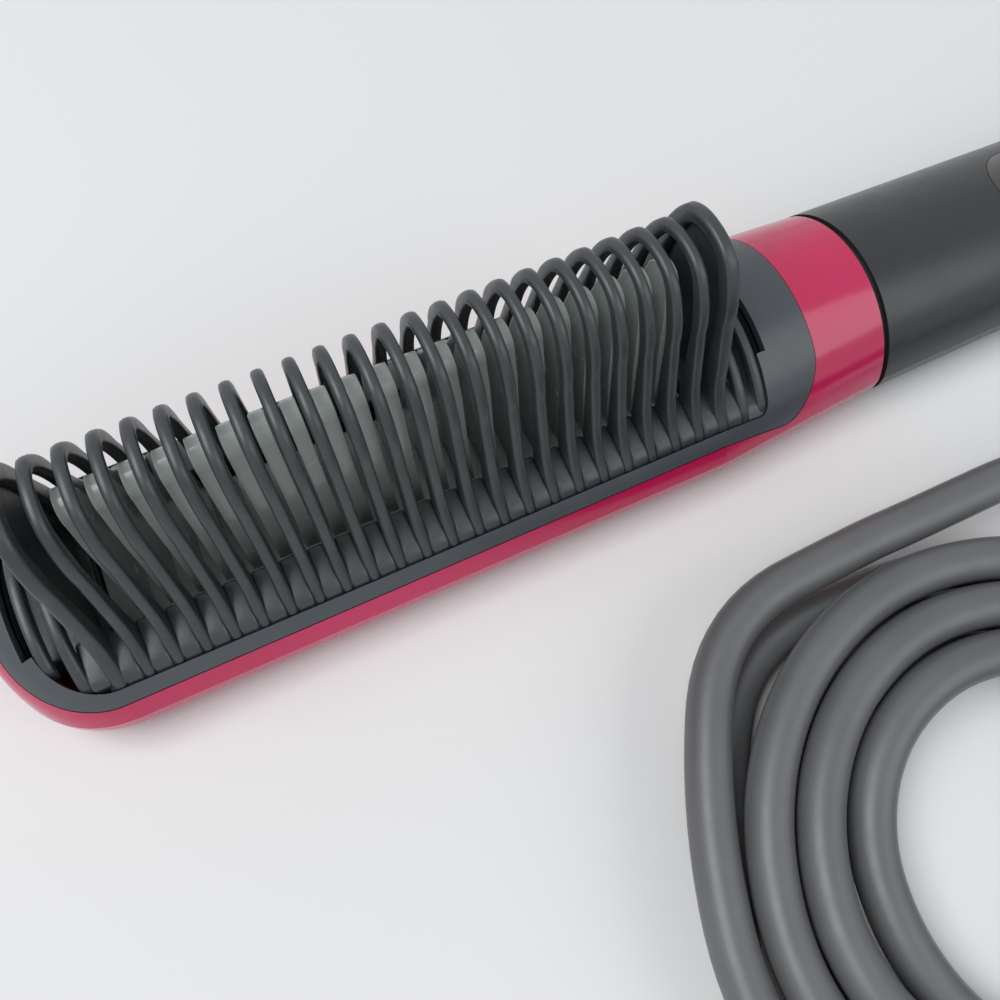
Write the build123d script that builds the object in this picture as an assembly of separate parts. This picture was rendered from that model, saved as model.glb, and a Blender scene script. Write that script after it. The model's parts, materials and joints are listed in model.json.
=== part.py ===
from build123d import *
import math
import os

# A hair straightening brush: a heated comb inside a guard comb of plastic loops, on a red head
# with a crowned face panel, and a round-backed handle with a display, three buttons and a
# swivelling mains cord. Millimetres. X runs from the head's tip to the tail, Y across, Z up from
# the table that the brush lies on. The origin is under the middle of the brush.

# Body
TIP_X = -140.0
COLLAR_X = -3.0
GROOVE_WIDTH = 1.0
TAIL_CAP_X = 126.0
TAIL_X = 134.0
PARTING_Z = 7.5
WALL = 2.0
HEAD_HALF_WIDTH = 19.1
HEAD_CROWN_Z = 21.0
NECK_HALF_WIDTH = 16.6
NECK_CROWN_Z = 20.8
GRIP_HALF_WIDTH = 15.0
GRIP_CROWN_Z = 19.4
TAIL_HALF_WIDTH = 15.8
TAIL_CROWN_Z = 20.2
TIP_RADIUS = 14.5
TIP_DROP = 7.0
TIP_RISE = 4.4
EDGE_ROUND = 0.8
GROOVE_DEPTH = 0.8
SPIGOT_LENGTH = 8.0
SPIGOT_GAP = 0.5
SPIGOT_WALL = 1.4
LIP_THICKNESS = 1.0
LIP_FOOT_Z = 12.0

# Guard comb
PITCH = 4.0
LOOP_COUNT = 24
FIRST_LOOP_X = -33.0
LOOP_THICKNESS = 1.4
END_LOOP_THICKNESS = 1.9
END_LOOP_GROWTH = 0.8
END_WALL = 0.9
FOOT_Z = 13.0
FOOT_HALF_WIDTH = 16.1
FOOT_DEPTH = 2.0
LOOP_HEIGHT = 27.8
LOOP_BAND = 1.4
SLOT_HALF_WIDTH = 8.9
RIB_PROUD = 0.5
SHELF_RISE = 1.7
SHELF_CREST = 2.9
SHELF_STEP = 1.8
LEDGE_Z = 8.6
LOW_RIB_DROP = 0.3
DECK_TOP_Z = 12.5
DECK_END_WALL = 1.2
DECK_END_WALL_TOP_Z = 16.0

# Face panel
PANEL_THICKNESS = 2.0
PANEL_END_X = -15.6
PANEL_TIP_GAP = 2.5
PANEL_HALF_WIDTH = 17.65
PANEL_TIP_RADIUS = 12.0
PANEL_END_RADIUS = 6.5
WINDOW_END_MARGIN = 8.0
WINDOW_RADIUS = 1.6
WINDOW_TIP_RADIUS = 8.0
WINDOW_SLOT_EXTRA = 1.5
SEAM_GAP = 0.1
LEDGE_HALF_WIDTH = 14.8

# Heated comb and what feeds it
TOOTH_THICKNESS = 2.0
TOOTH_TOP_Z = 36.6
TOOTH_TIP_RADIUS = 2.6
BAR_HALF_WIDTH = 8.0
BAR_TOP_Z = 11.5
BAR_BOTTOM_Z = 5.8
PTC_COUNT = 3
PTC_LENGTH = 24.0
PTC_WIDTH = 12.0
PTC_THICKNESS = 2.2
FILM_THICKNESS = 0.3
CLAMP_THICKNESS = 1.2
CRADLE_HALF_WIDTH = 10.2
CRADLE_WALL = 1.4
CRADLE_PLATE = 1.4
CRADLE_MARGIN = 9.0
CRADLE_SCREW_Y = 12.4

# Screws
SCREW_RADIUS = 1.2
SCREW_FIT = 0.05
SCREW_HEAD_RADIUS = 2.0
SCREW_HEAD_HEIGHT = 1.3
SCREW_SEAT_Z = 1.8
BOSS_RADIUS = 3.0
HEAD_BOSS_Z = 4.5
HEAD_SCREW_Y = 11.6
HANDLE_SCREW_Y = 9.0
HANDLE_THREAD = 4.0

# Controls
BOARD_START_X = 20.0
BOARD_END_X = 104.0
BOARD_HALF_WIDTH = 10.0
BOARD_BOTTOM_Z = 8.4
BOARD_THICKNESS = 1.6
CONTROL_START_X = 26.0
CONTROL_END_X = 98.0
CONTROL_HALF_WIDTH = 8.6
CONTROL_THICKNESS = 1.2
DISPLAY_X = 42.0
DISPLAY_LENGTH = 23.0
DISPLAY_WIDTH = 11.0
DISPLAY_RADIUS = 1.5
LENS_GAP = 0.05
APERTURE_MARGIN = 1.2
POWER_X = 63.0
MINUS_X = 76.0
PLUS_X = 88.0
POWER_RADIUS = 4.8
STEP_RADIUS = 4.0
BUTTON_GAP = 0.3
BUTTON_PROUD = 0.7
BUTTON_EDGE = 0.5
BUTTON_TRAVEL = 0.5
FLANGE_EXTRA = 0.9
FLANGE_THICKNESS = 0.9
FLANGE_CLEARANCE = 0.2
STEM_CLEARANCE = 0.1
STEM_RADIUS = 1.7
SWITCH_SIDE = 6.0
SWITCH_BODY = 3.4
PLUNGER_RADIUS = 1.6
PLUNGER_HEIGHT = 0.9

# Tail and swivel
SWIVEL_RADIUS = 4.7
SWIVEL_X = 140.0
SWIVEL_FIT = 0.08
SWIVEL_FLANGE_RADIUS = 5.6
SWIVEL_FLANGE = 1.6
SWIVEL_NECK_RADIUS = 3.4
SWIVEL_NECK_END_X = 121.0
SWIVEL_Z = 9.7
AXIAL_GAP = 0.15
CAP_WALL = 2.4
SKIRT_LENGTH = 8.0
RETAINER_THICKNESS = 1.6
CONTACT_GAP = 0.3
CONTACT_THICKNESS = 0.8
RELIEF_LENGTH = 35.0
RELIEF_RIBS = 6
RELIEF_ROOT_RADIUS = 4.7
RELIEF_END_RADIUS = 3.9
RELIEF_GROOVE = 0.6
LEAD_DIAMETER = 1.6

# Cord
CORD_DIAMETER = 6.3
CORD_Z = CORD_DIAMETER / 2 + 0.02
COIL_X = -22.0
COIL_Y = -86.0
COIL_OUTER_RADIUS = 46.5
COIL_PITCH = 6.9
COIL_LAYER_STEP = 6.9
COIL_TURNS_PER_LAYER = 3
COIL_END_STRAIGHT = 7.0
LEAD_ROUTE = [(222.0, -12.0), (240.0, -42.0), (236.0, -78.0), (208.0, -108.0), (148.0, -127.0)]
LEAD_APPROACH_X = 64.0
TAIL_RUN = 26.0
PLUG_X = 72.0
PLUG_Y = -46.0
PLUG_LENGTH = 36.0
PLUG_WIDTH = 35.0
PLUG_THICKNESS = 14.0
PLUG_NOSE_WIDTH = 24.0
PLUG_EDGE = 3.0
PLUG_RELIEF_LENGTH = 20.0
PLUG_RELIEF_RADIUS = 5.2
PIN_RADIUS = 2.4
PIN_LENGTH = 19.0
PIN_SPACING = 19.0
PIN_SEAT = 8.0

OUT = "parts"
os.makedirs(OUT, exist_ok=True)


def save(name, shape):
    """Writes one node."""
    export_step(shape, os.path.join(OUT, name + ".step"))


def group(solids):
    """Separate solids that share one node."""
    return Compound(children=[s for s in solids])


def line(a, b):
    return Edge.make_line(a, b)


def arc(a, b, c):
    return Edge.make_three_point_arc(a, b, c)


def box(x0, x1, y0, y1, z0, z1):
    """A block from its limits."""
    return Pos((x0 + x1) / 2, (y0 + y1) / 2, (z0 + z1) / 2) * Box(x1 - x0, y1 - y0, z1 - z0)


def upright(x, y, radius, z0, z1):
    """A vertical cylinder between two heights."""
    return Pos(x, y, (z0 + z1) / 2) * Cylinder(radius, z1 - z0)


def along_x(x0, x1, radius, y=0.0, z=0.0):
    """A cylinder along X between two stations."""
    return Pos((x0 + x1) / 2, y, z) * Rot(0, 90, 0) * Cylinder(radius, x1 - x0)


def yz_extrude(x0, x1, points):
    """A polygon in the YZ plane, extruded along X."""
    face = make_face(Polyline([(x0, y, z) for y, z in points], close=True))
    return extrude(face, amount=x1 - x0, dir=(1, 0, 0))


def plan_prism(x0, x1, half_width, r0, r1, z0, z1):
    """A rounded rectangle in plan, with one corner radius at each end, as a prism."""
    pts = [(x0, -half_width), (x1, -half_width), (x1, half_width), (x0, half_width)]
    outline = FilletPolyline([(x, y, z0) for x, y in pts], radius=[r0, r1, r1, r0], close=True)
    return extrude(make_face(outline), amount=z1 - z0, dir=(0, 0, 1))


# The body's outside: sections across X, each an arc over the crown above the parting plane and
# two rounded corners with a flat between them below it.


def station(x, half_width, crown, bottom=0.0):
    return (x, half_width, crown, bottom)


def tip_stations(inset):
    """The tip rounds off in plan and in profile."""
    result = []
    radius = TIP_RADIUS - inset
    centre = TIP_X + TIP_RADIUS
    for degrees in (90, 72, 50, 25, 0):
        a = math.radians(degrees)
        fall = 1 - math.cos(a)
        half = HEAD_HALF_WIDTH - inset - radius * fall
        crown = HEAD_CROWN_Z - inset - TIP_DROP * fall
        bottom = inset + TIP_RISE * fall
        result.append(station(centre - radius * math.sin(a), half, crown, bottom))
    return result


def head_at(x, inset=0.0):
    """The head's section at a station: even along the comb, then narrowing to the collar."""
    t = max(0.0, (x - FIRST_LOOP_X) / (COLLAR_X - FIRST_LOOP_X))
    half = HEAD_HALF_WIDTH + t * (NECK_HALF_WIDTH - HEAD_HALF_WIDTH)
    crown = HEAD_CROWN_Z + t * (NECK_CROWN_Z - HEAD_CROWN_Z)
    return station(x, half - inset, crown - inset, inset)


def handle_stations(inset):
    """The handle is waisted in its middle."""
    start = COLLAR_X + GROOVE_WIDTH
    length = TAIL_CAP_X - start
    rows = [
        (start, NECK_HALF_WIDTH, NECK_CROWN_Z),
        (start + 0.3 * length, (NECK_HALF_WIDTH + GRIP_HALF_WIDTH) / 2, (NECK_CROWN_Z + GRIP_CROWN_Z) / 2),
        (start + 0.65 * length, GRIP_HALF_WIDTH, GRIP_CROWN_Z),
        (TAIL_CAP_X, TAIL_HALF_WIDTH, TAIL_CROWN_Z),
    ]
    return [station(x, half - inset, crown - inset, inset) for x, half, crown in rows]


def cap_stations(inset):
    """The tail cap rounds in towards the swivel."""
    length = TAIL_X - TAIL_CAP_X
    rows = [(0.0, 0.0), (0.5, 0.16), (0.85, 0.5), (1.0, 0.8)]
    result = []
    for share, fall in rows:
        half = TAIL_HALF_WIDTH - inset - 6.0 * fall
        crown = TAIL_CROWN_Z - inset - 5.0 * fall
        result.append(station(TAIL_CAP_X + share * length, half, crown, inset + 3.0 * fall))
    return result


def upper_wire(s):
    x, half, crown, _ = s
    a, b, c = (x, -half, PARTING_Z), (x, 0, crown), (x, half, PARTING_Z)
    return Wire([arc(a, b, c), line(c, a)])


def lower_edges(s):
    """From the right-hand parting point down and round to the left-hand one."""
    x, half, _, bottom = s
    r = EDGE_ROUND * (PARTING_Z - bottom)
    k = r * (1 - math.sqrt(0.5))
    inner = half - r
    return [
        line((x, half, PARTING_Z), (x, half, bottom + r)),
        arc((x, half, bottom + r), (x, half - k, bottom + k), (x, inner, bottom)),
        line((x, inner, bottom), (x, -inner, bottom)),
        arc((x, -inner, bottom), (x, k - half, bottom + k), (x, -half, bottom + r)),
        line((x, -half, bottom + r), (x, -half, PARTING_Z)),
    ]


def lower_wire(s):
    x, half = s[0], s[1]
    return Wire([line((x, -half, PARTING_Z), (x, half, PARTING_Z))] + lower_edges(s))


def full_wire(s):
    x, half, crown, _ = s
    return Wire([arc((x, -half, PARTING_Z), (x, 0, crown), (x, half, PARTING_Z))] + lower_edges(s))


def skin(wires):
    return Solid.make_loft(wires, ruled=False)


def straight_skin(wires):
    return Solid.make_loft(wires, ruled=True)


def head_solid(wire, inset):
    """The head's outside, or a surface inside it, from tip to collar."""
    tip = tip_stations(inset)
    body = skin([wire(s) for s in tip])
    body += extrude(Face(wire(tip[-1])), amount=FIRST_LOOP_X - tip[-1][0], dir=(1, 0, 0))
    return body + skin([wire(head_at(x, inset)) for x in (FIRST_LOOP_X, COLLAR_X)])


def crown_radius(half, crown):
    rise = crown - PARTING_Z
    return (rise * rise + half * half) / (2 * rise)


def handle_at(x):
    """Half width and crown height of the handle at a station, between the lofted sections."""
    rows = handle_stations(0.0)
    for a, b in zip(rows, rows[1:]):
        if x <= b[0]:
            t = (x - a[0]) / (b[0] - a[0])
            return a[1] + t * (b[1] - a[1]), a[2] + t * (b[2] - a[2])
    return rows[-1][1], rows[-1][2]


def handle_surface_z(x, y, inset):
    """Height of the handle's top surface, or of a surface inside it."""
    half, crown = handle_at(x)
    radius = crown_radius(half - inset, crown - inset)
    return crown - inset - radius + math.sqrt(radius * radius - y * y)


HEAD_OUTER = head_solid(upper_wire, 0)
HEAD_UNDER_PANEL = head_solid(upper_wire, PANEL_THICKNESS)
HANDLE_OUTER = straight_skin([upper_wire(s) for s in handle_stations(0)])
HANDLE_INNER = straight_skin([upper_wire(s) for s in handle_stations(WALL)])
HANDLE_RECESS = straight_skin([upper_wire(s) for s in handle_stations(CONTROL_THICKNESS)])
HIGH_Z = 60.0
WINDOW_X0 = FIRST_LOOP_X - PITCH * (LOOP_COUNT - 1) - WINDOW_END_MARGIN
WINDOW_X1 = FIRST_LOOP_X + WINDOW_END_MARGIN
LEDGE_X0 = TIP_X + PANEL_TIP_GAP + 3.0
LEDGE_X1 = PANEL_END_X - 3.0
HEAD_SCREWS = [(x, y) for x in (WINDOW_X0 + 4.5, LEDGE_X1 - 1.5) for y in (-HEAD_SCREW_Y, HEAD_SCREW_Y)]
HANDLE_SCREWS = [
    (x, y) for x in (BOARD_START_X - 7, BOARD_END_X + 7) for y in (-HANDLE_SCREW_Y, HANDLE_SCREW_Y)
]
BOARD_SCREWS = [(x, y) for x in (BOARD_START_X + 3, BOARD_END_X - 3) for y in (-7.2, 7.2)]
BAR_X0 = FIRST_LOOP_X - PITCH * (LOOP_COUNT - 2) - 2.5
BAR_X1 = FIRST_LOOP_X - 2.5
CRADLE_X0 = BAR_X0 - 2.0
CRADLE_X1 = FIRST_LOOP_X + CRADLE_MARGIN
CRADLE_TOP_Z = BAR_BOTTOM_Z - CLAMP_THICKNESS
CRADLE_BOTTOM_Z = CRADLE_TOP_Z - CRADLE_PLATE
CRADLE_SCREWS = [(x, y) for x in (BAR_X0 + 12, BAR_X1 - 12) for y in (-CRADLE_SCREW_Y, CRADLE_SCREW_Y)]
POCKET_TOP_Z = BAR_BOTTOM_Z + PTC_THICKNESS + FILM_THICKNESS
PTC_STEP = (BAR_X1 - BAR_X0) / PTC_COUNT
PTC_CENTRES = [BAR_X0 + PTC_STEP * (k + 0.5) for k in range(PTC_COUNT)]
BOARD_TOP_Z = BOARD_BOTTOM_Z + BOARD_THICKNESS
BUTTONS = [
    ("power_button", POWER_X, POWER_RADIUS),
    ("minus_button", MINUS_X, STEP_RADIUS),
    ("plus_button", PLUS_X, STEP_RADIUS),
]


def head_window(grow):
    """The opening in the face panel: the comb's rectangle and a slightly longer middle slot."""
    half = FOOT_HALF_WIDTH + grow
    main = plan_prism(WINDOW_X0 - grow, WINDOW_X1 + grow, half, WINDOW_TIP_RADIUS, WINDOW_RADIUS, 0, HIGH_Z)
    extra = WINDOW_SLOT_EXTRA + grow
    slot = SLOT_HALF_WIDTH + grow
    return main + box(WINDOW_X0 - extra, WINDOW_X1 + extra, -slot, slot, 0, HIGH_Z)


def panel_prism(grow, z0):
    return plan_prism(
        TIP_X + PANEL_TIP_GAP - grow, PANEL_END_X + grow, PANEL_HALF_WIDTH + grow,
        PANEL_TIP_RADIUS + grow, PANEL_END_RADIUS + grow, z0, HIGH_Z,
    )


def screw(x, y, z_head, z_seat, z_end):
    """A pan screw: the head lies between the first two heights, the shank after the second."""
    head = upright(x, y, SCREW_HEAD_RADIUS, min(z_head, z_seat), max(z_head, z_seat))
    return head + upright(x, y, SCREW_RADIUS - SCREW_FIT, min(z_seat, z_end), max(z_seat, z_end))


def rear_shell():
    """The red back half of the head, with bosses for its own screws and for the cradle's."""
    shell = head_solid(lower_wire, 0) - head_solid(lower_wire, WALL)
    for x, y in HEAD_SCREWS:
        shell += upright(x, y, BOSS_RADIUS, WALL / 2, HEAD_BOSS_Z)
    for x, y in CRADLE_SCREWS:
        shell += upright(x, y, BOSS_RADIUS, WALL / 2, CRADLE_BOTTOM_Z)
    for x, y in HEAD_SCREWS:
        shell -= upright(x, y, SCREW_RADIUS, -1, HEAD_BOSS_Z)
        shell -= upright(x, y, SCREW_HEAD_RADIUS + SCREW_FIT, -1, SCREW_SEAT_Z)
    for x, y in CRADLE_SCREWS:
        shell -= upright(x, y, SCREW_RADIUS, WALL / 2, CRADLE_BOTTOM_Z)
    return shell


def shoulder(x0, x1, inset):
    """A stretch of the narrowing part of the head, above the parting plane."""
    return skin([upper_wire(head_at(x, inset)) for x in (x0, x1)])


def front_frame():
    """The red upper frame: a collar, narrow sides and a ledge that carries panel and comb."""
    frame = HEAD_OUTER - panel_prism(SEAM_GAP, LEDGE_Z)
    frame -= plan_prism(LEDGE_X0, LEDGE_X1, LEDGE_HALF_WIDTH, 9.0, 4.0, 0, HIGH_Z)
    frame -= shoulder(LEDGE_X1 - 2, COLLAR_X, WALL)
    lip_end = PANEL_END_X + 2
    lip = shoulder(LEDGE_X1, lip_end, PANEL_THICKNESS + SEAM_GAP / 2)
    lip += shoulder(PANEL_END_X + 0.5, lip_end, WALL / 2)
    lip -= shoulder(LEDGE_X1 - 1, lip_end + 1, PANEL_THICKNESS + LIP_THICKNESS)
    frame += lip & box(LEDGE_X1, lip_end, -LEDGE_HALF_WIDTH, LEDGE_HALF_WIDTH, LIP_FOOT_Z, HIGH_Z)
    for x, y in HEAD_SCREWS:
        y0, y1 = sorted((y, math.copysign(LEDGE_HALF_WIDTH + 0.6, y)))
        frame += upright(x, y, BOSS_RADIUS, HEAD_BOSS_Z, LEDGE_Z)
        frame += box(x - BOSS_RADIUS, x + BOSS_RADIUS, y0, y1, PARTING_Z, LEDGE_Z)
    for x, y in HEAD_SCREWS:
        frame -= upright(x, y, SCREW_RADIUS, HEAD_BOSS_Z, LEDGE_Z)
    return frame


def face_panel():
    """The dark crowned panel, open where the guard comb stands."""
    panel = (HEAD_OUTER - HEAD_UNDER_PANEL) & panel_prism(0, LEDGE_Z)
    return panel - head_window(SEAM_GAP)


def loop_outer(growth):
    """Right-hand half of a loop's outline, foot to crown, with heights above the feet."""
    top = LOOP_HEIGHT + growth
    side = growth * 0.45
    foot = FOOT_HALF_WIDTH - 0.1
    return [
        ("line", (foot, -FOOT_DEPTH), (foot, 0.0)),
        ("arc", (foot, 0.0), (12.9, 4.4), (11.0 + side, 9.2)),
        ("line", (11.0 + side, 9.2), (8.7 + side, 17.6)),
        ("arc", (8.7 + side, 17.6), (7.5 + side, 22.4 + side), (5.2 + side, 26.1 + growth * 0.8)),
        ("arc", (5.2 + side, 26.1 + growth * 0.8), (2.75, top - 0.35), (0.0, top)),
    ]


def loop_inner():
    """Right-hand half of the opening, slot edge to crown."""
    top = LOOP_HEIGHT - LOOP_BAND
    edge = SLOT_HALF_WIDTH + 0.1
    return [
        ("line", (edge, -FOOT_DEPTH), (edge, SHELF_CREST - 0.2)),
        ("line", (edge, SHELF_CREST - 0.2), (7.1, 15.1)),
        ("arc", (7.1, 15.1), (5.7, 20.6), (3.9, 24.6)),
        ("arc", (3.9, 24.6), (2.1, top - 0.4), (0.0, top)),
    ]


def both_halves(x, half):
    """Both halves of an outline as one wire, closed along the foot line."""
    edges = []
    for side in (1, -1):
        for piece in half:
            points = [(x, side * y, FOOT_Z + z) for y, z in piece[1:]]
            edges.append(line(*points) if piece[0] == "line" else arc(*points))
    y, z = half[0][1]
    edges.append(line((x, -y, FOOT_Z + z), (x, y, FOOT_Z + z)))
    return Wire(edges)


def loop_solid(thickness, growth, open_middle=True):
    """One loop, standing at X = 0."""
    face = Face(both_halves(-thickness / 2, loop_outer(growth)))
    solid = extrude(face, amount=thickness, dir=(1, 0, 0))
    if open_middle:
        hole = Face(both_halves(-thickness, loop_inner()))
        solid -= extrude(hole, amount=2 * thickness, dir=(1, 0, 0))
    return solid


def low_rib(x):
    """A rib that follows the crowned panel's line instead of rising from it."""
    start = x - LOOP_THICKNESS / 2
    half = FOOT_HALF_WIDTH
    section = station(start, *head_at(x, LOW_RIB_DROP)[1:])
    rib = extrude(Face(upper_wire(section)), amount=LOOP_THICKNESS, dir=(1, 0, 0))
    rib &= box(x - 5, x + 5, -half, half, LEDGE_Z, HIGH_Z)
    section = station(start - 1, *head_at(x, LOW_RIB_DROP + PANEL_THICKNESS)[1:])
    hollow = extrude(Face(upper_wire(section)), amount=LOOP_THICKNESS + 2, dir=(1, 0, 0))
    return rib - (hollow & box(x - 5, x + 5, -SLOT_HALF_WIDTH, SLOT_HALF_WIDTH, 0, HIGH_Z))


def guard_comb():
    """The loops on their two rails, with a deck, a low rib and a closed loop at each end."""
    crest = FOOT_Z + SHELF_CREST
    base = []
    for side in (1, -1):
        section = [
            (side * FOOT_HALF_WIDTH, LEDGE_Z), (side * FOOT_HALF_WIDTH, FOOT_Z - RIB_PROUD),
            (side * (FOOT_HALF_WIDTH - SHELF_STEP), FOOT_Z + SHELF_RISE),
            (side * SLOT_HALF_WIDTH, crest), (side * SLOT_HALF_WIDTH, LEDGE_Z),
        ]
        base.append(yz_extrude(WINDOW_X0, WINDOW_X1, section))
    last_x = FIRST_LOOP_X - PITCH * (LOOP_COUNT - 1)
    reach = WINDOW_SLOT_EXTRA
    for x0, x1, wall_x in (
        (WINDOW_X0 - reach, last_x - 1, WINDOW_X0 - reach),
        (FIRST_LOOP_X + 1, WINDOW_X1 + reach, WINDOW_X1 + reach - DECK_END_WALL),
    ):
        half = SLOT_HALF_WIDTH
        base.append(box(x0, x1, -half - 0.5, half + 0.5, LEDGE_Z, DECK_TOP_Z))
        base.append(box(wall_x, wall_x + DECK_END_WALL, -half, half, LEDGE_Z, DECK_END_WALL_TOP_Z))
    comb = base[0] + base[1:]
    edge = LOOP_THICKNESS / 2
    ribs = [FIRST_LOOP_X + PITCH, WINDOW_X1 - edge, last_x - PITCH, WINDOW_X0 + edge]
    comb = (comb + [low_rib(x) for x in ribs]) & head_window(0)
    loop = loop_solid(LOOP_THICKNESS, 0.0)
    end_loop = loop_solid(END_LOOP_THICKNESS, END_LOOP_GROWTH)
    end_wall = loop_solid(END_WALL, 0.0, open_middle=False)
    comb += [Pos(FIRST_LOOP_X - PITCH * n, 0, 0) * loop for n in range(1, LOOP_COUNT - 1)]
    comb += [Pos(x, 0, 0) * end_loop for x in (FIRST_LOOP_X, last_x)]
    shift = (END_LOOP_THICKNESS - END_WALL) / 2
    return comb + [Pos(x, 0, 0) * end_wall for x in (FIRST_LOOP_X + shift, last_x - shift)]


def tooth():
    """One heated tooth, standing at X = 0: a rounded crest on sides that widen to the bar."""
    x = -TOOTH_THICKNESS / 2
    r = TOOTH_TIP_RADIUS
    top = TOOTH_TOP_Z
    flank = [(r, top - r), (3.7, top - 6.6), (5.0, top - 15.3), (7.2, BAR_TOP_Z - 0.5)]
    edges = [arc((x, -r, top - r), (x, 0, top), (x, r, top - r))]
    for side in (1, -1):
        points = [(x, side * y, z) for y, z in flank]
        edges += [line(a, b) for a, b in zip(points, points[1:])]
    y, z = flank[-1]
    edges.append(line((x, -y, z), (x, y, z)))
    return extrude(Face(Wire(edges)), amount=TOOTH_THICKNESS, dir=(1, 0, 0))


def heater_comb():
    """The heated bar with one tooth in each gap between two open loops."""
    comb = box(BAR_X0, BAR_X1, -BAR_HALF_WIDTH, BAR_HALF_WIDTH, BAR_BOTTOM_Z, BAR_TOP_Z)
    comb -= box(BAR_X0 - 1, BAR_X1 + 1, -PTC_WIDTH / 2, PTC_WIDTH / 2, BAR_BOTTOM_Z - 1, POCKET_TOP_Z)
    shape = tooth()
    return comb + [Pos(FIRST_LOOP_X - PITCH * (n + 0.5), 0, 0) * shape for n in range(1, LOOP_COUNT - 2)]


def head_inside():
    """What heats the comb and carries it on the rear shell's bosses."""
    half = PTC_WIDTH / 2 - 0.1
    plates = []
    for x in PTC_CENTRES:
        x0, x1 = x - PTC_LENGTH / 2, x + PTC_LENGTH / 2
        plates.append(box(x0, x1, -half, half, BAR_BOTTOM_Z, BAR_BOTTOM_Z + PTC_THICKNESS))
    save("ptc_heaters", group(plates))
    save("insulation_film", box(BAR_X0 + 1, BAR_X1 - 1, -half, half, POCKET_TOP_Z - FILM_THICKNESS, POCKET_TOP_Z))
    half = BAR_HALF_WIDTH - 0.4
    save("heater_clamp", box(BAR_X0, BAR_X1, -half, half, CRADLE_TOP_Z, BAR_BOTTOM_Z))
    half = CRADLE_HALF_WIDTH
    cradle = box(CRADLE_X0, CRADLE_X1, -half, half, CRADLE_BOTTOM_Z, CRADLE_TOP_Z)
    for y0, y1 in ((-half, CRADLE_WALL - half), (half - CRADLE_WALL, half)):
        cradle += box(CRADLE_X0, CRADLE_X1, y0, y1, CRADLE_BOTTOM_Z, LEDGE_Z)
    screws = []
    for x, y in CRADLE_SCREWS:
        y0, y1 = sorted((y, math.copysign(half - 0.5, y)))
        cradle += upright(x, y, BOSS_RADIUS - 0.3, CRADLE_BOTTOM_Z, CRADLE_TOP_Z)
        cradle += box(x - BOSS_RADIUS, x + BOSS_RADIUS, y0, y1, CRADLE_BOTTOM_Z, CRADLE_TOP_Z)
        cradle -= upright(x, y, SCREW_RADIUS, CRADLE_BOTTOM_Z, CRADLE_TOP_Z)
        screws.append(screw(x, y, CRADLE_TOP_Z + SCREW_HEAD_HEIGHT, CRADLE_TOP_Z, WALL / 2 + 0.2))
    save("heater_cradle", cradle)
    save("cradle_screws", group(screws))
    save("thermal_cutout", along_x(BAR_X1 + 1, BAR_X1 + 8, 1.9, 1.8, CRADLE_TOP_Z + 1.9))
    save("thermistor", along_x(BAR_X1 + 0.2, BAR_X1 + 4.2, 1.1, -2.4, CRADLE_TOP_Z + 1.1))
    screws = [screw(x, y, SCREW_SEAT_Z - SCREW_HEAD_HEIGHT, SCREW_SEAT_Z, LEDGE_Z - 0.2) for x, y in HEAD_SCREWS]
    save("head_screws", group(screws))


def neck_ring():
    """The dark band in the groove, on a hollow spigot that enters head and handle."""
    groove = station(COLLAR_X, NECK_HALF_WIDTH - GROOVE_DEPTH, NECK_CROWN_Z - GROOVE_DEPTH, GROOVE_DEPTH)
    ring = extrude(Face(full_wire(groove)), amount=GROOVE_WIDTH, dir=(1, 0, 0))
    length = 2 * SPIGOT_LENGTH + GROOVE_WIDTH
    inset = WALL + SPIGOT_GAP
    x0 = COLLAR_X - SPIGOT_LENGTH
    outside = station(x0, NECK_HALF_WIDTH - inset, NECK_CROWN_Z - inset, inset)
    ring += extrude(Face(full_wire(outside)), amount=length, dir=(1, 0, 0))
    inset += SPIGOT_WALL
    inside = station(x0 - 1, NECK_HALF_WIDTH - inset, NECK_CROWN_Z - inset, inset)
    return ring - extrude(Face(full_wire(inside)), amount=length + 2, dir=(1, 0, 0))


def display_prism(margin, z0=PARTING_Z):
    """The display's outline, or one inside or outside it, as a tall prism."""
    half = DISPLAY_LENGTH / 2 + margin
    radius = DISPLAY_RADIUS + max(margin, -0.5)
    return plan_prism(DISPLAY_X - half, DISPLAY_X + half, DISPLAY_WIDTH / 2 + margin, radius, radius, z0, HIGH_Z)


def control_prism(margin):
    """The control panel's outline in plan."""
    half = CONTROL_HALF_WIDTH + margin
    radius = half - 0.1
    return plan_prism(CONTROL_START_X - margin, CONTROL_END_X + margin, half, radius, radius, PARTING_Z, HIGH_Z)


def handle_front_shell():
    """The grip's upper half: recess for the control panel, apertures and screw bosses."""
    shell = HANDLE_OUTER - HANDLE_INNER
    shell -= (HANDLE_OUTER - HANDLE_RECESS) & control_prism(SEAM_GAP)
    shell -= display_prism(-APERTURE_MARGIN)
    for _, x, radius in BUTTONS:
        shell -= upright(x, 0, radius + BUTTON_GAP, PARTING_Z, HIGH_Z)
    for x, y in HANDLE_SCREWS:
        shell += upright(x, y, BOSS_RADIUS, PARTING_Z, handle_surface_z(x, abs(y) + BOSS_RADIUS, WALL * 0.4))
    for x, y in HANDLE_SCREWS:
        shell -= upright(x, y, SCREW_RADIUS, PARTING_Z, PARTING_Z + HANDLE_THREAD)
    return shell


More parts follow.
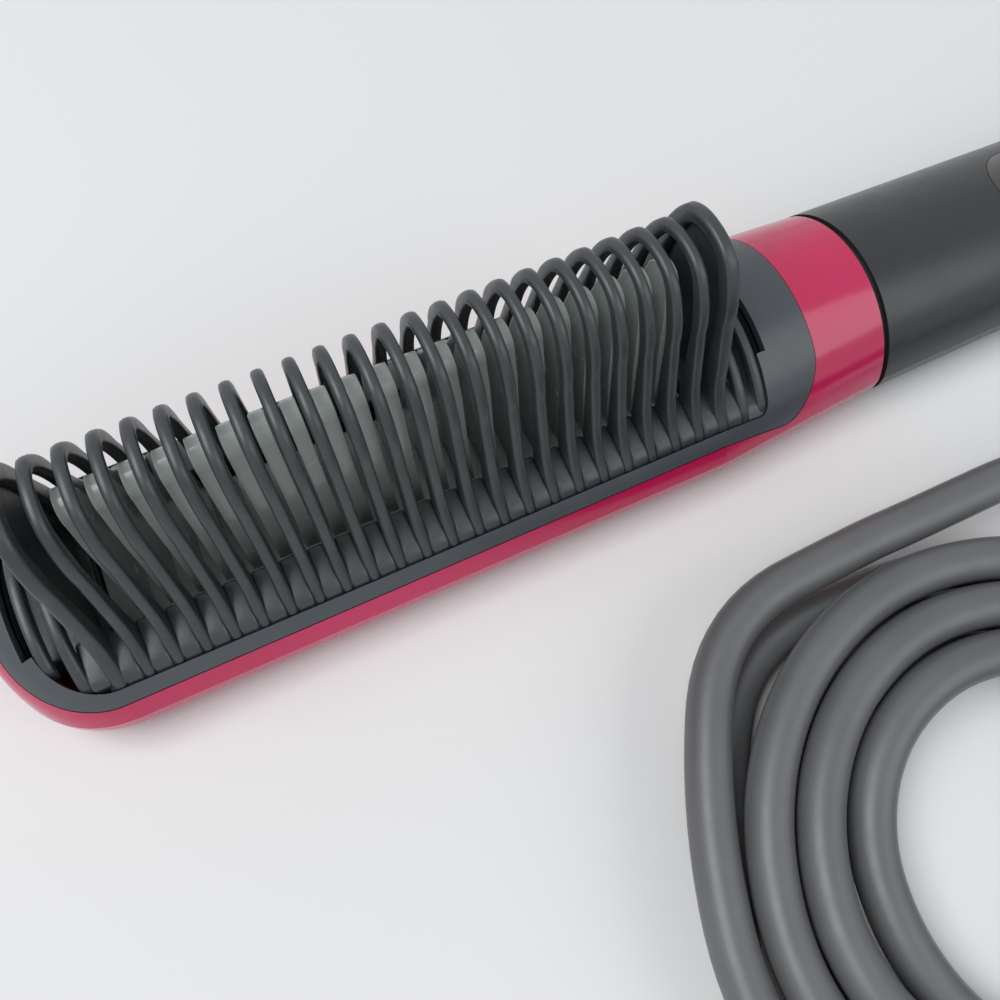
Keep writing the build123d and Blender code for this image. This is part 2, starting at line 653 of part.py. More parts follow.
def handle_rear_shell():
    """The grip's back half, with bosses for the handle screws and for the board."""
    shell = straight_skin([lower_wire(s) for s in handle_stations(0)])
    shell -= straight_skin([lower_wire(s) for s in handle_stations(WALL)])
    for x, y in HANDLE_SCREWS:
        shell += upright(x, y, BOSS_RADIUS, WALL / 2, PARTING_Z)
    for x, y in BOARD_SCREWS:
        shell += upright(x, y, BOSS_RADIUS - 0.6, WALL / 2, BOARD_BOTTOM_Z)
    for x, y in HANDLE_SCREWS:
        shell -= upright(x, y, SCREW_RADIUS, -1, PARTING_Z)
        shell -= upright(x, y, SCREW_HEAD_RADIUS + SCREW_FIT, -1, SCREW_SEAT_Z)
    for x, y in BOARD_SCREWS:
        shell -= upright(x, y, SCREW_RADIUS, WALL, BOARD_BOTTOM_Z)
    return shell


def control_panel():
    """The gloss plate let into the crown of the grip."""
    plate = (HANDLE_OUTER - HANDLE_RECESS) & control_prism(0)
    plate -= display_prism(LENS_GAP)
    for _, x, radius in BUTTONS:
        plate -= upright(x, 0, radius + BUTTON_GAP, PARTING_Z, HIGH_Z)
    return plate


def button(x, radius):
    """A round cap with a flange under the shell and a stem over its switch."""
    crown = handle_at(x)[1]
    flange_radius = radius + FLANGE_EXTRA
    flange_top = handle_surface_z(x, flange_radius, WALL) - FLANGE_CLEARANCE
    top = crown + BUTTON_PROUD
    cap = upright(x, 0, radius, flange_top - FLANGE_THICKNESS, top)
    cap = fillet(cap.faces().sort_by(Axis.Z)[-1].edges(), BUTTON_EDGE)
    cap += upright(x, 0, flange_radius, flange_top - FLANGE_THICKNESS, flange_top)
    plunger_top = BOARD_TOP_Z + SWITCH_BODY + PLUNGER_HEIGHT
    return cap + upright(x, 0, STEM_RADIUS, plunger_top + BUTTON_TRAVEL + STEM_CLEARANCE, flange_top)


def handle_inside():
    """The board and what stands on it."""
    board = box(BOARD_START_X, BOARD_END_X, -BOARD_HALF_WIDTH, BOARD_HALF_WIDTH, BOARD_BOTTOM_Z, BOARD_TOP_Z)
    screws = []
    for x, y in BOARD_SCREWS:
        board -= upright(x, y, SCREW_RADIUS, BOARD_BOTTOM_Z, BOARD_TOP_Z)
        screws.append(screw(x, y, BOARD_TOP_Z + SCREW_HEAD_HEIGHT, BOARD_TOP_Z, BOARD_BOTTOM_Z - 4))
    save("control_board", board)
    save("board_screws", group(screws))
    save("handle_screws", group([
        screw(x, y, SCREW_SEAT_Z - SCREW_HEAD_HEIGHT, SCREW_SEAT_Z, PARTING_Z + HANDLE_THREAD - 0.3)
        for x, y in HANDLE_SCREWS
    ]))
    switches = []
    half = SWITCH_SIDE / 2
    for _, x, _ in BUTTONS:
        body = box(x - half, x + half, -half, half, BOARD_TOP_Z, BOARD_TOP_Z + SWITCH_BODY)
        top = BOARD_TOP_Z + SWITCH_BODY
        switches.append(body + upright(x, 0, PLUNGER_RADIUS, top, top + PLUNGER_HEIGHT))
    save("tact_switches", group(switches))
    half = DISPLAY_WIDTH / 2 - APERTURE_MARGIN
    top = handle_surface_z(DISPLAY_X, half, WALL) - 0.3
    reach = DISPLAY_LENGTH / 2 - APERTURE_MARGIN
    save("display_module", box(DISPLAY_X - reach, DISPLAY_X + reach, -half, half, BOARD_TOP_Z, top))
    x0 = BOARD_START_X + 0.6
    capacitor = box(x0, x0 + 6.5, -4.0, 4.0, BOARD_TOP_Z, BOARD_TOP_Z + 5.5)
    save("film_capacitor", fillet(capacitor.edges().filter_by(Axis.Z), 0.6))
    x1 = BOARD_END_X - 0.6
    save("triac", box(x1 - 9.0, x1, -4.4, 4.4, BOARD_TOP_Z, BOARD_TOP_Z + 4.4))
    save("control_chip", box(MINUS_X - 3.5, MINUS_X + 3.5, -3.5, 3.5, BOARD_BOTTOM_Z - 1.2, BOARD_BOTTOM_Z))


def tail_cap():
    """The end cap: a skirt inside the grip's shells and a wall with the swivel's bore."""
    stations = cap_stations(0)
    cap = skin([full_wire(s) for s in stations])
    inset = WALL + SPIGOT_GAP
    plug = station(TAIL_CAP_X - SKIRT_LENGTH, GRIP_HALF_WIDTH - inset, GRIP_CROWN_Z - inset, inset)
    cap += extrude(Face(full_wire(plug)), amount=SKIRT_LENGTH + 0.5, dir=(1, 0, 0))
    inset += SPIGOT_WALL
    hollow = station(plug[0] - 1, GRIP_HALF_WIDTH - inset, GRIP_CROWN_Z - inset, inset)
    cap -= extrude(Face(full_wire(hollow)), amount=TAIL_X - CAP_WALL - plug[0] + 1, dir=(1, 0, 0))
    return cap - along_x(TAIL_X - CAP_WALL - 1, TAIL_X + 1, SWIVEL_RADIUS + SWIVEL_FIT, 0, SWIVEL_Z)


def swivel_parts():
    """The turning neck of the cord with its flange, the plate that keeps it in, and the contacts."""
    flange_end = TAIL_X - CAP_WALL - AXIAL_GAP
    flange_start = flange_end - SWIVEL_FLANGE
    body = along_x(flange_start, SWIVEL_X, SWIVEL_RADIUS, 0, SWIVEL_Z)
    body += along_x(flange_start, flange_end, SWIVEL_FLANGE_RADIUS, 0, SWIVEL_Z)
    body += along_x(SWIVEL_NECK_END_X, flange_start, SWIVEL_NECK_RADIUS, 0, SWIVEL_Z)
    save("cord_swivel", body)
    plate_end = flange_start - AXIAL_GAP
    plate_start = plate_end - RETAINER_THICKNESS
    inset = WALL + SPIGOT_GAP + SPIGOT_WALL + 0.05
    section = station(plate_start, GRIP_HALF_WIDTH - inset, GRIP_CROWN_Z - inset, inset)
    plate = extrude(Face(full_wire(section)), amount=RETAINER_THICKNESS, dir=(1, 0, 0))
    hole = SWIVEL_NECK_RADIUS + SWIVEL_FIT
    save("swivel_retainer", plate - along_x(plate_start - 1, plate_end + 1, hole, 0, SWIVEL_Z))
    contacts = []
    y = SWIVEL_NECK_RADIUS + CONTACT_GAP
    for y0, y1 in ((-y - CONTACT_THICKNESS, -y), (y, y + CONTACT_THICKNESS)):
        contacts.append(box(SWIVEL_NECK_END_X, plate_start, y0, y1, SWIVEL_Z - 1.6, SWIVEL_Z + 1.6))
    save("swivel_contacts", group(contacts))


def relief(x0, x1, root, end, ribs, y=0.0, z=0.0):
    """A ribbed taper along X, as one turned body."""
    edges = []
    step = (x1 - x0) / (2 * ribs + 1)
    points = [(x0, 0.0), (x0, root)]
    for k in range(2 * ribs + 1):
        radius = root + (end - root) * k / (2 * ribs)
        if k % 2:
            radius -= RELIEF_GROOVE
        points += [(x0 + k * step, radius), (x0 + (k + 1) * step, radius)]
    points.append((x1, 0.0))
    unique = [points[0]]
    for p in points[1:]:
        if math.dist(p, unique[-1]) > 1e-6:
            unique.append(p)
    face = make_face(Polyline([(px, y + pr, z) for px, pr in unique], close=True))
    return revolve(face, axis=Axis((0, y, z), (1, 0, 0)))


def route_radii(points):
    """A bend at each inner point: 0.45 of the shorter run beside it over tan(half the turn)."""
    radii = []
    for a, b, c in zip(points, points[1:], points[2:]):
        u, v = Vector(*b) - Vector(*a), Vector(*c) - Vector(*b)
        turn = math.radians(u.get_angle(v))
        radii.append(0.45 * min(u.length, v.length) / math.tan(turn / 2))
    return radii


def tube(name, points, diameter):
    """A round tube along a route of straight runs and bends. It reports what it built."""
    radii = route_radii(points)
    path = FilletPolyline(points, radius=radii)
    start = Vector(*points[1]) - Vector(*points[0])
    plane = Plane(origin=points[0], z_dir=start)
    solid = sweep(plane * Circle(diameter / 2), path=path)
    length = path.length
    ratio = solid.volume / (math.pi * diameter * diameter / 4 * length)
    print(name, "length", round(length, 1), "radii", [round(r, 1) for r in radii], "volume ratio", round(ratio, 4))
    return solid, length


def coil_nodes():
    """Quarter-turn points of the coil with their directions: in on the lower layer, a climb over
    half a turn, out on the upper one."""
    half_way = 4 * COIL_TURNS_PER_LAYER + 1
    nodes = []
    for k in range(2 * half_way + 1):
        angle = math.radians(270 - 90 * k)
        radius = COIL_OUTER_RADIUS - COIL_PITCH * (half_way - abs(k - half_way)) / 4
        level = min(max((k - half_way + 1) / 2, 0.0), 1.0)
        growth = COIL_PITCH / (2 * math.pi) * ((k > half_way) - (k < half_way))
        if k in (0, 2 * half_way):
            growth = 0.0
        x = COIL_X + radius * math.cos(angle)
        y = COIL_Y + radius * math.sin(angle)
        z = CORD_Z + level * COIL_LAYER_STEP
        climb = COIL_LAYER_STEP / math.pi if k == half_way else 0.0
        direction = Vector(
            growth * math.cos(angle) + radius * math.sin(angle),
            growth * math.sin(angle) - radius * math.cos(angle),
            climb,
        )
        nodes.append((Vector(x, y, z), direction.normalized()))
    return nodes


def biarc(p0, t0, p1, t1):
    """Two arcs that leave one point along its direction and reach the next along its own."""
    v = p1 - p0
    t = t0 + t1
    denominator = 2 * (1 - t0.dot(t1))
    b = v.dot(t)
    d = (-b + math.sqrt(b * b + denominator * v.dot(v))) / denominator
    joint = (p0 + p1 + (t0 - t1) * d) * 0.5
    first = Edge.make_tangent_arc(p0, t0, joint)
    tangent = (joint - p0).normalized()
    tangent = (tangent * (2 * tangent.dot(t0)) - t0).normalized()
    return [first, Edge.make_tangent_arc(joint, tangent, p1)]


def coil():
    """The wound part of the cord as one unbroken tube with straight ends."""
    nodes = coil_nodes()
    first, last = nodes[0], nodes[-1]
    start = first[0] - first[1] * COIL_END_STRAIGHT
    end = last[0] + last[1] * COIL_END_STRAIGHT
    edges = [Edge.make_line(start, first[0])]
    for a, b in zip(nodes, nodes[1:]):
        edges += biarc(a[0], a[1], b[0], b[1])
    edges.append(Edge.make_line(last[0], end))
    path = Wire(edges)
    solid = sweep(Plane(origin=start, z_dir=first[1]) * Circle(CORD_DIAMETER / 2), path=path)
    points, marks, run = [], [], 0.0
    for edge in edges:
        count = max(2, int(edge.length / 1.5))
        for k in range(count):
            points.append(edge.position_at(k / count))
            marks.append(run + edge.length * k / count)
        run += edge.length
    least = 1e9
    for i, p in enumerate(points):
        for q, mark in zip(points[i + 1:], marks[i + 1:]):
            if mark - marks[i] > 40 and abs(q.X - p.X) < 9 and abs(q.Y - p.Y) < 9:
                least = min(least, (q - p).length)
    ratio = solid.volume / (math.pi * CORD_DIAMETER ** 2 / 4 * run)
    print("cord_coil length", round(run, 1), "least gap", round(least - CORD_DIAMETER, 3),
          "volume ratio", round(ratio, 4), "ends", start, end)
    return solid, run, start, end


def plug(x0, y, z):
    """A flat moulded body with rounded edges, narrower at the pins."""
    x1 = x0 + PLUG_LENGTH
    wide, nose = PLUG_WIDTH / 2, PLUG_NOSE_WIDTH / 2
    neck = PLUG_RELIEF_RADIUS + 2
    outline = [
        (x0, y - neck), (x0 + 12, y - nose), (x1 - 8, y - wide), (x1, y - wide),
        (x1, y + wide), (x1 - 8, y + wide), (x0 + 12, y + nose), (x0, y + neck),
    ]
    z0 = z - PLUG_THICKNESS / 2
    face = make_face(Polyline([(a, b, z0) for a, b in outline], close=True))
    body = extrude(face, amount=PLUG_THICKNESS, dir=(0, 0, 1))
    body = fillet(body.edges().filter_by(Axis.Z), PLUG_EDGE)
    rims = body.faces().sort_by(Axis.Z)
    body = fillet(rims[0].edges() + rims[-1].edges(), PLUG_EDGE * 0.7)
    pins = []
    for side in (-1, 1):
        py = y + side * PIN_SPACING / 2
        body -= along_x(x1 - PIN_SEAT, x1 + 1, PIN_RADIUS, py, z)
        pin = along_x(x1 - PIN_SEAT, x1 + PIN_LENGTH, PIN_RADIUS, py, z)
        pins.append(fillet(pin.faces().sort_by(Axis.X)[-1].edges(), PIN_RADIUS * 0.6))
    return body, pins


def cord():
    """The mains cord from the strain relief to the plug's pins."""
    coil_solid, coil_length, coil_start, coil_end = coil()
    save("cord_coil", coil_solid)
    relief_end = SWIVEL_X + RELIEF_LENGTH
    route = [(relief_end, 0.0, SWIVEL_Z), (relief_end + 18.0, 0.0, SWIVEL_Z)]
    route += [(x, y, CORD_Z) for x, y in LEAD_ROUTE]
    route += [(LEAD_APPROACH_X, coil_start.Y, CORD_Z), tuple(coil_start)]
    lead, lead_length = tube("cord_lead", route, CORD_DIAMETER)
    save("cord_lead", lead)
    plug_z = PLUG_THICKNESS / 2
    route = [tuple(coil_end), (coil_end.X + TAIL_RUN, coil_end.Y, coil_end.Z)]
    route += [(PLUG_X - TAIL_RUN, PLUG_Y, plug_z), (PLUG_X, PLUG_Y, plug_z)]
    tail, tail_length = tube("cord_tail", route, CORD_DIAMETER)
    save("cord_tail", tail)
    save("strain_relief", relief(SWIVEL_X, relief_end, RELIEF_ROOT_RADIUS, RELIEF_END_RADIUS, RELIEF_RIBS, 0, SWIVEL_Z))
    plug_start = PLUG_X + PLUG_RELIEF_LENGTH
    save("plug_relief", relief(plug_start, PLUG_X, PLUG_RELIEF_RADIUS, RELIEF_END_RADIUS, 4, PLUG_Y, plug_z))
    body, pins = plug(plug_start, PLUG_Y, plug_z)
    save("plug_body", body)
    save("plug_pins", group(pins))
    print("cord length", round(coil_length + lead_length + tail_length))


def leads():
    """Insulated wires: heater and sensor ones through the neck, supply ones to the swivel."""
    mid_z = BOARD_BOTTOM_Z + BOARD_THICKNESS / 2
    low = BAR_BOTTOM_Z + PTC_THICKNESS / 2
    wires = []
    for y in (-4.8, 4.8):
        route = [(BAR_X1, y, low), (BAR_X1 + 14, y, low), (COLLAR_X, y, mid_z), (BOARD_START_X, y, mid_z)]
        wires.append(tube("heater lead", route, LEAD_DIAMETER)[0])
    save("heater_leads", group(wires))
    wires = []
    for x, y, z in ((BAR_X1 + 8, 1.8, CRADLE_TOP_Z + 1.9), (BAR_X1 + 4.2, -2.4, CRADLE_TOP_Z + 1.1)):
        route = [(x, y, z), (x + 9, y, z), (COLLAR_X, y, mid_z), (BOARD_START_X, y, mid_z)]
        wires.append(tube("sensor lead", route, LEAD_DIAMETER * 0.75)[0])
    save("sensor_leads", group(wires))
    y = SWIVEL_NECK_RADIUS + CONTACT_GAP + CONTACT_THICKNESS / 2
    wires = [along_x(BOARD_END_X, SWIVEL_NECK_END_X, LEAD_DIAMETER / 2, side * y, mid_z) for side in (-1, 1)]
    save("supply_leads", group(wires))


save("rear_shell", rear_shell())
save("front_frame", front_frame())
save("face_panel", face_panel())
save("guard_comb", guard_comb())
save("heater_comb", heater_comb())
head_inside()
save("neck_ring", neck_ring())
save("handle_front_shell", handle_front_shell())
save("handle_rear_shell", handle_rear_shell())
save("control_panel", control_panel())
save("display_window", (HANDLE_OUTER - HANDLE_RECESS) & display_prism(0))
for button_name, button_x, button_radius in BUTTONS:
    save(button_name, button(button_x, button_radius))
handle_inside()
save("tail_cap", tail_cap())
swivel_parts()
leads()
cord()
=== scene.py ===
import json
import math

import bmesh
import bpy
from mathutils import Matrix, Vector

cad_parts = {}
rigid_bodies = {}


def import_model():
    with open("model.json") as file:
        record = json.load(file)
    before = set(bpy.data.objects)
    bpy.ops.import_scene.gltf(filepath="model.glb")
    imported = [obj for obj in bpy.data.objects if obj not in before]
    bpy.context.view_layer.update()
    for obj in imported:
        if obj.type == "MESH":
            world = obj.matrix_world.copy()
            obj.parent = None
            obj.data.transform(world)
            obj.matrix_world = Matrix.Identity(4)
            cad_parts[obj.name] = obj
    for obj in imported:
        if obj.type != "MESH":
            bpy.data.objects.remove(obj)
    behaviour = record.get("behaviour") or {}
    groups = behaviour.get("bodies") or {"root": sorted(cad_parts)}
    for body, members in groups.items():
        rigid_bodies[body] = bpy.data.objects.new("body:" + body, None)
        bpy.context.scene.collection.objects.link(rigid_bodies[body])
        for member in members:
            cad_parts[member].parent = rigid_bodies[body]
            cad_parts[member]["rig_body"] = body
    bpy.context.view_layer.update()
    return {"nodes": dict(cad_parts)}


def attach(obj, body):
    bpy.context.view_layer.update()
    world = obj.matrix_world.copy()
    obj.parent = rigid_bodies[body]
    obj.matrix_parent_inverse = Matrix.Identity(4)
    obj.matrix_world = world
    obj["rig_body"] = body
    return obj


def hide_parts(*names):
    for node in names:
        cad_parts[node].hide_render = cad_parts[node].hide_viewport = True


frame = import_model()
MM = 0.001

# Camera in the photograph's place: millimetres, and its focal length in pixels of the square picture
PICTURE_SIDE = 1000
SENSOR_WIDTH = 36.0
CAMERA_AT = (-92.014, -58.612, 133.124)
CAMERA_RIGHT = (0.90619, -0.42258, 0.01566)
CAMERA_DOWN = (-0.38231, -0.83456, -0.39668)
CAMERA_FORWARD = (0.18069, 0.35348, -0.91783)
FOCAL_PIXELS = 908.28


def make_camera():
    data = bpy.data.cameras.new("camera")
    data.sensor_width = SENSOR_WIDTH
    data.lens = data.sensor_width * FOCAL_PIXELS / PICTURE_SIDE
    data.clip_start = 0.005
    camera = bpy.data.objects.new("camera", data)
    axes = Matrix((Vector(CAMERA_RIGHT), -Vector(CAMERA_DOWN), -Vector(CAMERA_FORWARD)))
    placed = axes.transposed().to_4x4()
    placed.translation = Vector(CAMERA_AT) * MM
    camera.matrix_world = placed
    bpy.context.scene.collection.objects.link(camera)
    bpy.context.scene.camera = camera


make_camera()

# Cord: the control points of one smooth line, in millimetres
CORD_DIAMETER = 6.3
FLOOR_LEVEL = CORD_DIAMETER / 2 + 0.02
LAYER_STEP = 6.9
COIL_CENTRE = (-22.0, -86.0)
COIL_RADIUS = 46.5
COIL_PITCH = 6.9
TURNS = 3
STEPS = 12
EXIT = (175.0, 0.0, 9.7)
EXIT_RUN = 18.0
LEAD = [
    (222.0, -12.0), (240.0, -42.0), (236.0, -78.0), (208.0, -108.0),
    (148.0, -127.0), (64.0, -132.5), (-15.0, -132.5),
]
TAIL = [(-15.0, -39.5, 10.07), (11.0, -39.5, 10.07), (46.0, -46.0, 7.0), (72.0, -46.0, 7.0)]
# The loose turns fan out on the side that the photograph shows: step of the coil and radius there
FANNED = {
    3: 45.2, 4: 41.8, 5: 45.6, 6: 40.2, 7: 41.4,
    15: 37.4, 16: 35.2, 17: 36.2, 18: 33.4, 19: 34.4,
    27: 30.8, 28: 28.8, 29: 28.6, 30: 27.0, 31: 27.6,
    51: 32.6, 52: 32.0, 53: 31.9, 54: 32.5, 55: 33.2,
    63: 39.4, 64: 38.6, 65: 38.5, 66: 39.2, 67: 40.0,
    74: 45.4, 75: 46.2, 76: 45.4, 77: 51.0, 78: 45.8,
}


def cord_points():
    """The lead, a coil of six and a half turns in two layers, and the tail."""
    points = [EXIT, (EXIT[0] + EXIT_RUN, EXIT[1], EXIT[2])]
    points += [(x, y, FLOOR_LEVEL) for x, y in LEAD]
    # a quadratic line cuts the corners of its control points, so these lie a little further out
    swell = 1 / (0.75 + 0.25 * math.cos(2 * math.pi / STEPS))
    half = (TURNS + 0.25) * STEPS
    for k in range(int(2 * half) + 1):
        angle = math.radians(270 - 360 * k / STEPS)
        from_end = min(k, 2 * half - k)
        radius = FANNED.get(k, COIL_RADIUS - COIL_PITCH * from_end / STEPS)
        radius *= 1 + (swell - 1) * min(from_end + 0.6, 1.0)
        level = min(max((k - TURNS * STEPS) / (STEPS / 2), 0.0), 1.0)
        x = COIL_CENTRE[0] + radius * math.cos(angle)
        y = COIL_CENTRE[1] + radius * math.sin(angle)
        points.append((x, y, FLOOR_LEVEL + LAYER_STEP * level))
    return points + TAIL


def make_cord():
    curve = bpy.data.curves.new("mains_cord", "CURVE")
    curve.dimensions = "3D"
    curve.bevel_depth = 1.0  # the points' own radius then is the cord's
    curve.bevel_resolution = 6
    curve.resolution_u = 10
    curve.use_fill_caps = True
    spline = curve.splines.new("NURBS")
    points = cord_points()
    spline.points.add(len(points) - 1)
    for p, co in zip(spline.points, points):
        p.co = (co[0] * MM, co[1] * MM, co[2] * MM, 1.0)
        p.radius = CORD_DIAMETER / 2 * MM
    spline.order_u = 3
    spline.use_endpoint_u = True
    cord = bpy.data.objects.new("mains_cord", curve)
    bpy.context.scene.collection.objects.link(cord)
    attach(cord, "brush")
    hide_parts("cord_lead", "cord_coil", "cord_tail")
    return cord


cord = make_cord()


# Materials
NOISE_CORE = (0.35, 0.65)  # the part of the noise's range that the colours spread over
NOISE_SPAN = (0.3, 0.7)  # the part that the gloss spreads over
COAT_ROUGHNESS = 0.06
BUMP_STRENGTH = 0.5


def new_material(name):
    material = bpy.data.materials.new(name)
    material.use_nodes = True
    tree = material.node_tree
    shader = tree.nodes["Principled BSDF"]
    return material, tree, shader


def noise(tree, scale, detail, stretch=(1, 1, 1)):
    coordinates = tree.nodes.new("ShaderNodeTexCoord")
    mapping = tree.nodes.new("ShaderNodeMapping")
    mapping.inputs["Scale"].default_value = stretch
    texture = tree.nodes.new("ShaderNodeTexNoise")
    texture.inputs["Scale"].default_value = scale
    texture.inputs["Detail"].default_value = detail
    tree.links.new(coordinates.outputs["Object"], mapping.inputs["Vector"])
    tree.links.new(mapping.outputs["Vector"], texture.inputs["Vector"])
    return texture


def vary_colour(tree, shader, dark, light, scale, stretch=(1, 1, 1)):
    texture = noise(tree, scale, 3.0, stretch)
    ramp = tree.nodes.new("ShaderNodeValToRGB")
    for stop, position, colour in zip(ramp.color_ramp.elements, NOISE_CORE, (dark, light)):
        stop.position = position
        stop.color = (*colour, 1)
    tree.links.new(texture.outputs["Fac"], ramp.inputs["Fac"])
    tree.links.new(ramp.outputs["Color"], shader.inputs["Base Color"])


def vary_roughness(tree, shader, low, high, scale, stretch=(1, 1, 1)):
    texture = noise(tree, scale, 4.0, stretch)
    span = tree.nodes.new("ShaderNodeMapRange")
    for socket, value in zip(("From Min", "From Max", "To Min", "To Max"), (*NOISE_SPAN, low, high)):
        span.inputs[socket].default_value = value
    tree.links.new(texture.outputs["Fac"], span.inputs["Value"])
    tree.links.new(span.outputs["Result"], shader.inputs["Roughness"])


def add_bump(tree, shader, scale, depth, stretch=(1, 1, 1)):
    texture = noise(tree, scale, 2.0, stretch)
    bump = tree.nodes.new("ShaderNodeBump")
    bump.inputs["Distance"].default_value = depth
    bump.inputs["Strength"].default_value = BUMP_STRENGTH
    tree.links.new(texture.outputs["Fac"], bump.inputs["Height"])
    tree.links.new(bump.outputs["Normal"], shader.inputs["Normal"])


def surface(
    name, dark, light, rough, scale, rough_scale, bump=None, metal=0.0, coat=0.0, stretch=(1, 1, 1)
):
    """A material with broad colour change, uneven gloss and, where bump is given, a fine grain."""
    material, tree, shader = new_material(name)
    vary_colour(tree, shader, dark, light, scale, stretch)
    vary_roughness(tree, shader, rough[0], rough[1], rough_scale, stretch)
    shader.inputs["Metallic"].default_value = metal
    shader.inputs["Coat Weight"].default_value = coat
    shader.inputs["Coat Roughness"].default_value = COAT_ROUGHNESS
    if bump:
        add_bump(tree, shader, *bump, stretch)
    return material


RED = surface(
    "red_gloss", (0.44, 0.006, 0.066), (0.52, 0.010, 0.086), (0.14, 0.20), 25, 150, (90, 0.00002),
    coat=0.2,
)
PANEL = surface(
    "panel_satin", (0.048, 0.057, 0.066), (0.058, 0.068, 0.078), (0.28, 0.35), 40, 260, (1300, 0.00001)
)
GRIP = surface(
    "grip_satin", (0.013, 0.015, 0.018), (0.019, 0.022, 0.026), (0.28, 0.34), 40, 260, (1300, 0.00001)
)
COMB = surface(
    "comb_plastic", (0.029, 0.034, 0.038), (0.038, 0.044, 0.049), (0.31, 0.40), 160, 700, (1900, 0.00003)
)
HEATER = surface(
    "heater_coating", (0.37, 0.420, 0.392), (0.40, 0.448, 0.420), (0.24, 0.28), 80, 260, coat=0.4
)
CORD = surface(
    "cord_rubber", (0.098, 0.101, 0.106), (0.116, 0.119, 0.124), (0.36, 0.44), 60, 300, (1500, 0.00003)
)
RING = surface(
    "ring_black", (0.012, 0.012, 0.013), (0.020, 0.020, 0.022), (0.45, 0.6), 100, 500, (1500, 0.00004)
)
PIANO = surface(
    "piano_black", (0.008, 0.008, 0.010), (0.012, 0.012, 0.014), (0.06, 0.12), 40, 200, (80, 0.00001),
    coat=0.6,
)
BUTTON = surface(
    "button_grey", (0.30, 0.32, 0.34), (0.36, 0.38, 0.40), (0.25, 0.35), 120, 500, (1600, 0.00003)
)
STEEL = surface(
    "screw_steel", (0.42, 0.42, 0.43), (0.56, 0.56, 0.57), (0.25, 0.45), 300, 900, (700, 0.00003),
    metal=1.0,
)
NICKEL = surface(
    "pin_nickel", (0.62, 0.61, 0.58), (0.74, 0.73, 0.70), (0.14, 0.28), 200, 600, (500, 0.00002),
    metal=1.0, stretch=(0.2, 1, 1),
)
BRASS = surface(
    "contact_brass", (0.60, 0.42, 0.16), (0.72, 0.52, 0.22), (0.2, 0.4), 200, 700, (500, 0.00002),
    metal=1.0,
)
BOARD = surface(
    "board_green", (0.015, 0.10, 0.04), (0.025, 0.14, 0.06), (0.3, 0.45), 300, 700, (900, 0.00003)
)
CERAMIC = surface(
    "ceramic", (0.60, 0.57, 0.50), (0.70, 0.67, 0.60), (0.5, 0.7), 200, 600, (1200, 0.00005)
)
FILM = surface(
    "amber_film", (0.42, 0.20, 0.02), (0.52, 0.27, 0.04), (0.2, 0.35), 150, 400, (300, 0.00003)
)
DARK = surface(
    "dark_moulding", (0.02, 0.02, 0.022), (0.035, 0.035, 0.038), (0.4, 0.6), 200, 600, (1300, 0.00005)
)
LEAD_SKIN = surface(
    "lead_silicone", (0.48, 0.48, 0.46), (0.58, 0.58, 0.56), (0.45, 0.6), 150, 500, (900, 0.00003)
)
CAPACITOR = surface(
    "capacitor_yellow", (0.48, 0.30, 0.02), (0.58, 0.38, 0.04), (0.3, 0.4), 150, 500, (900, 0.00003)
)
SHEET = surface(
    "sheet_aluminium", (0.58, 0.58, 0.59), (0.70, 0.70, 0.71), (0.25, 0.4), 200, 900, (500, 0.00002),
    metal=1.0, stretch=(0.1, 1, 1),
)


GLASS_CLEARNESS = 0.85
GLASS_INDEX = 1.49


def glass_material(name, tint, rough):
    material, tree, shader = new_material(name)
    vary_roughness(tree, shader, rough, rough * 1.6, 300)
    shader.inputs["Base Color"].default_value = (*tint, 1)
    shader.inputs["Transmission Weight"].default_value = GLASS_CLEARNESS
    shader.inputs["IOR"].default_value = GLASS_INDEX
    return material


SMOKED = glass_material("smoked_window", (0.08, 0.09, 0.10), 0.03)
BEAD = glass_material("glass_bead", (0.55, 0.20, 0.10), 0.08)

FINISH = {
    RED: ["rear_shell", "front_frame"],
    PANEL: ["face_panel"],
    GRIP: ["handle_front_shell", "handle_rear_shell", "tail_cap"],
    COMB: ["guard_comb"],
    HEATER: ["heater_comb"],
    CORD: ["strain_relief", "plug_relief", "plug_body", "cord_lead", "cord_coil", "cord_tail"],
    RING: ["neck_ring", "cord_swivel"],
    PIANO: ["control_panel", "display_module"],
    BUTTON: ["power_button", "minus_button", "plus_button"],
    STEEL: ["cradle_screws", "head_screws", "handle_screws", "board_screws"],
    NICKEL: ["plug_pins"],
    BRASS: ["swivel_contacts"],
    BOARD: ["control_board"],
    CERAMIC: ["ptc_heaters"],
    FILM: ["insulation_film"],
    DARK: ["heater_cradle", "swivel_retainer", "triac", "control_chip", "tact_switches"],
    LEAD_SKIN: ["heater_leads", "sensor_leads", "supply_leads"],
    CAPACITOR: ["film_capacitor"],
    SHEET: ["heater_clamp", "thermal_cutout"],
    SMOKED: ["display_window"],
    BEAD: ["thermistor"],
}


def dress(obj, material):
    obj.data.materials.clear()
    obj.data.materials.append(material)


node_finish = {}
for material, names in FINISH.items():
    for name in names:
        node_finish[name] = material
        dress(frame["nodes"][name], material)
cord.data.materials.append(CORD)


WELD = 0.000005
FLAT_ANGLE = math.radians(1.0)


def round_edges(obj, width, angle, clamp):
    """Rounds the edges that are sharper than angle, in degrees."""
    bevel = obj.modifiers.new("bevel", "BEVEL")
    bevel.width = width * MM
    bevel.segments = 2
    bevel.limit_method = "ANGLE"
    bevel.angle_limit = math.radians(angle)
    bevel.use_clamp_overlap = clamp


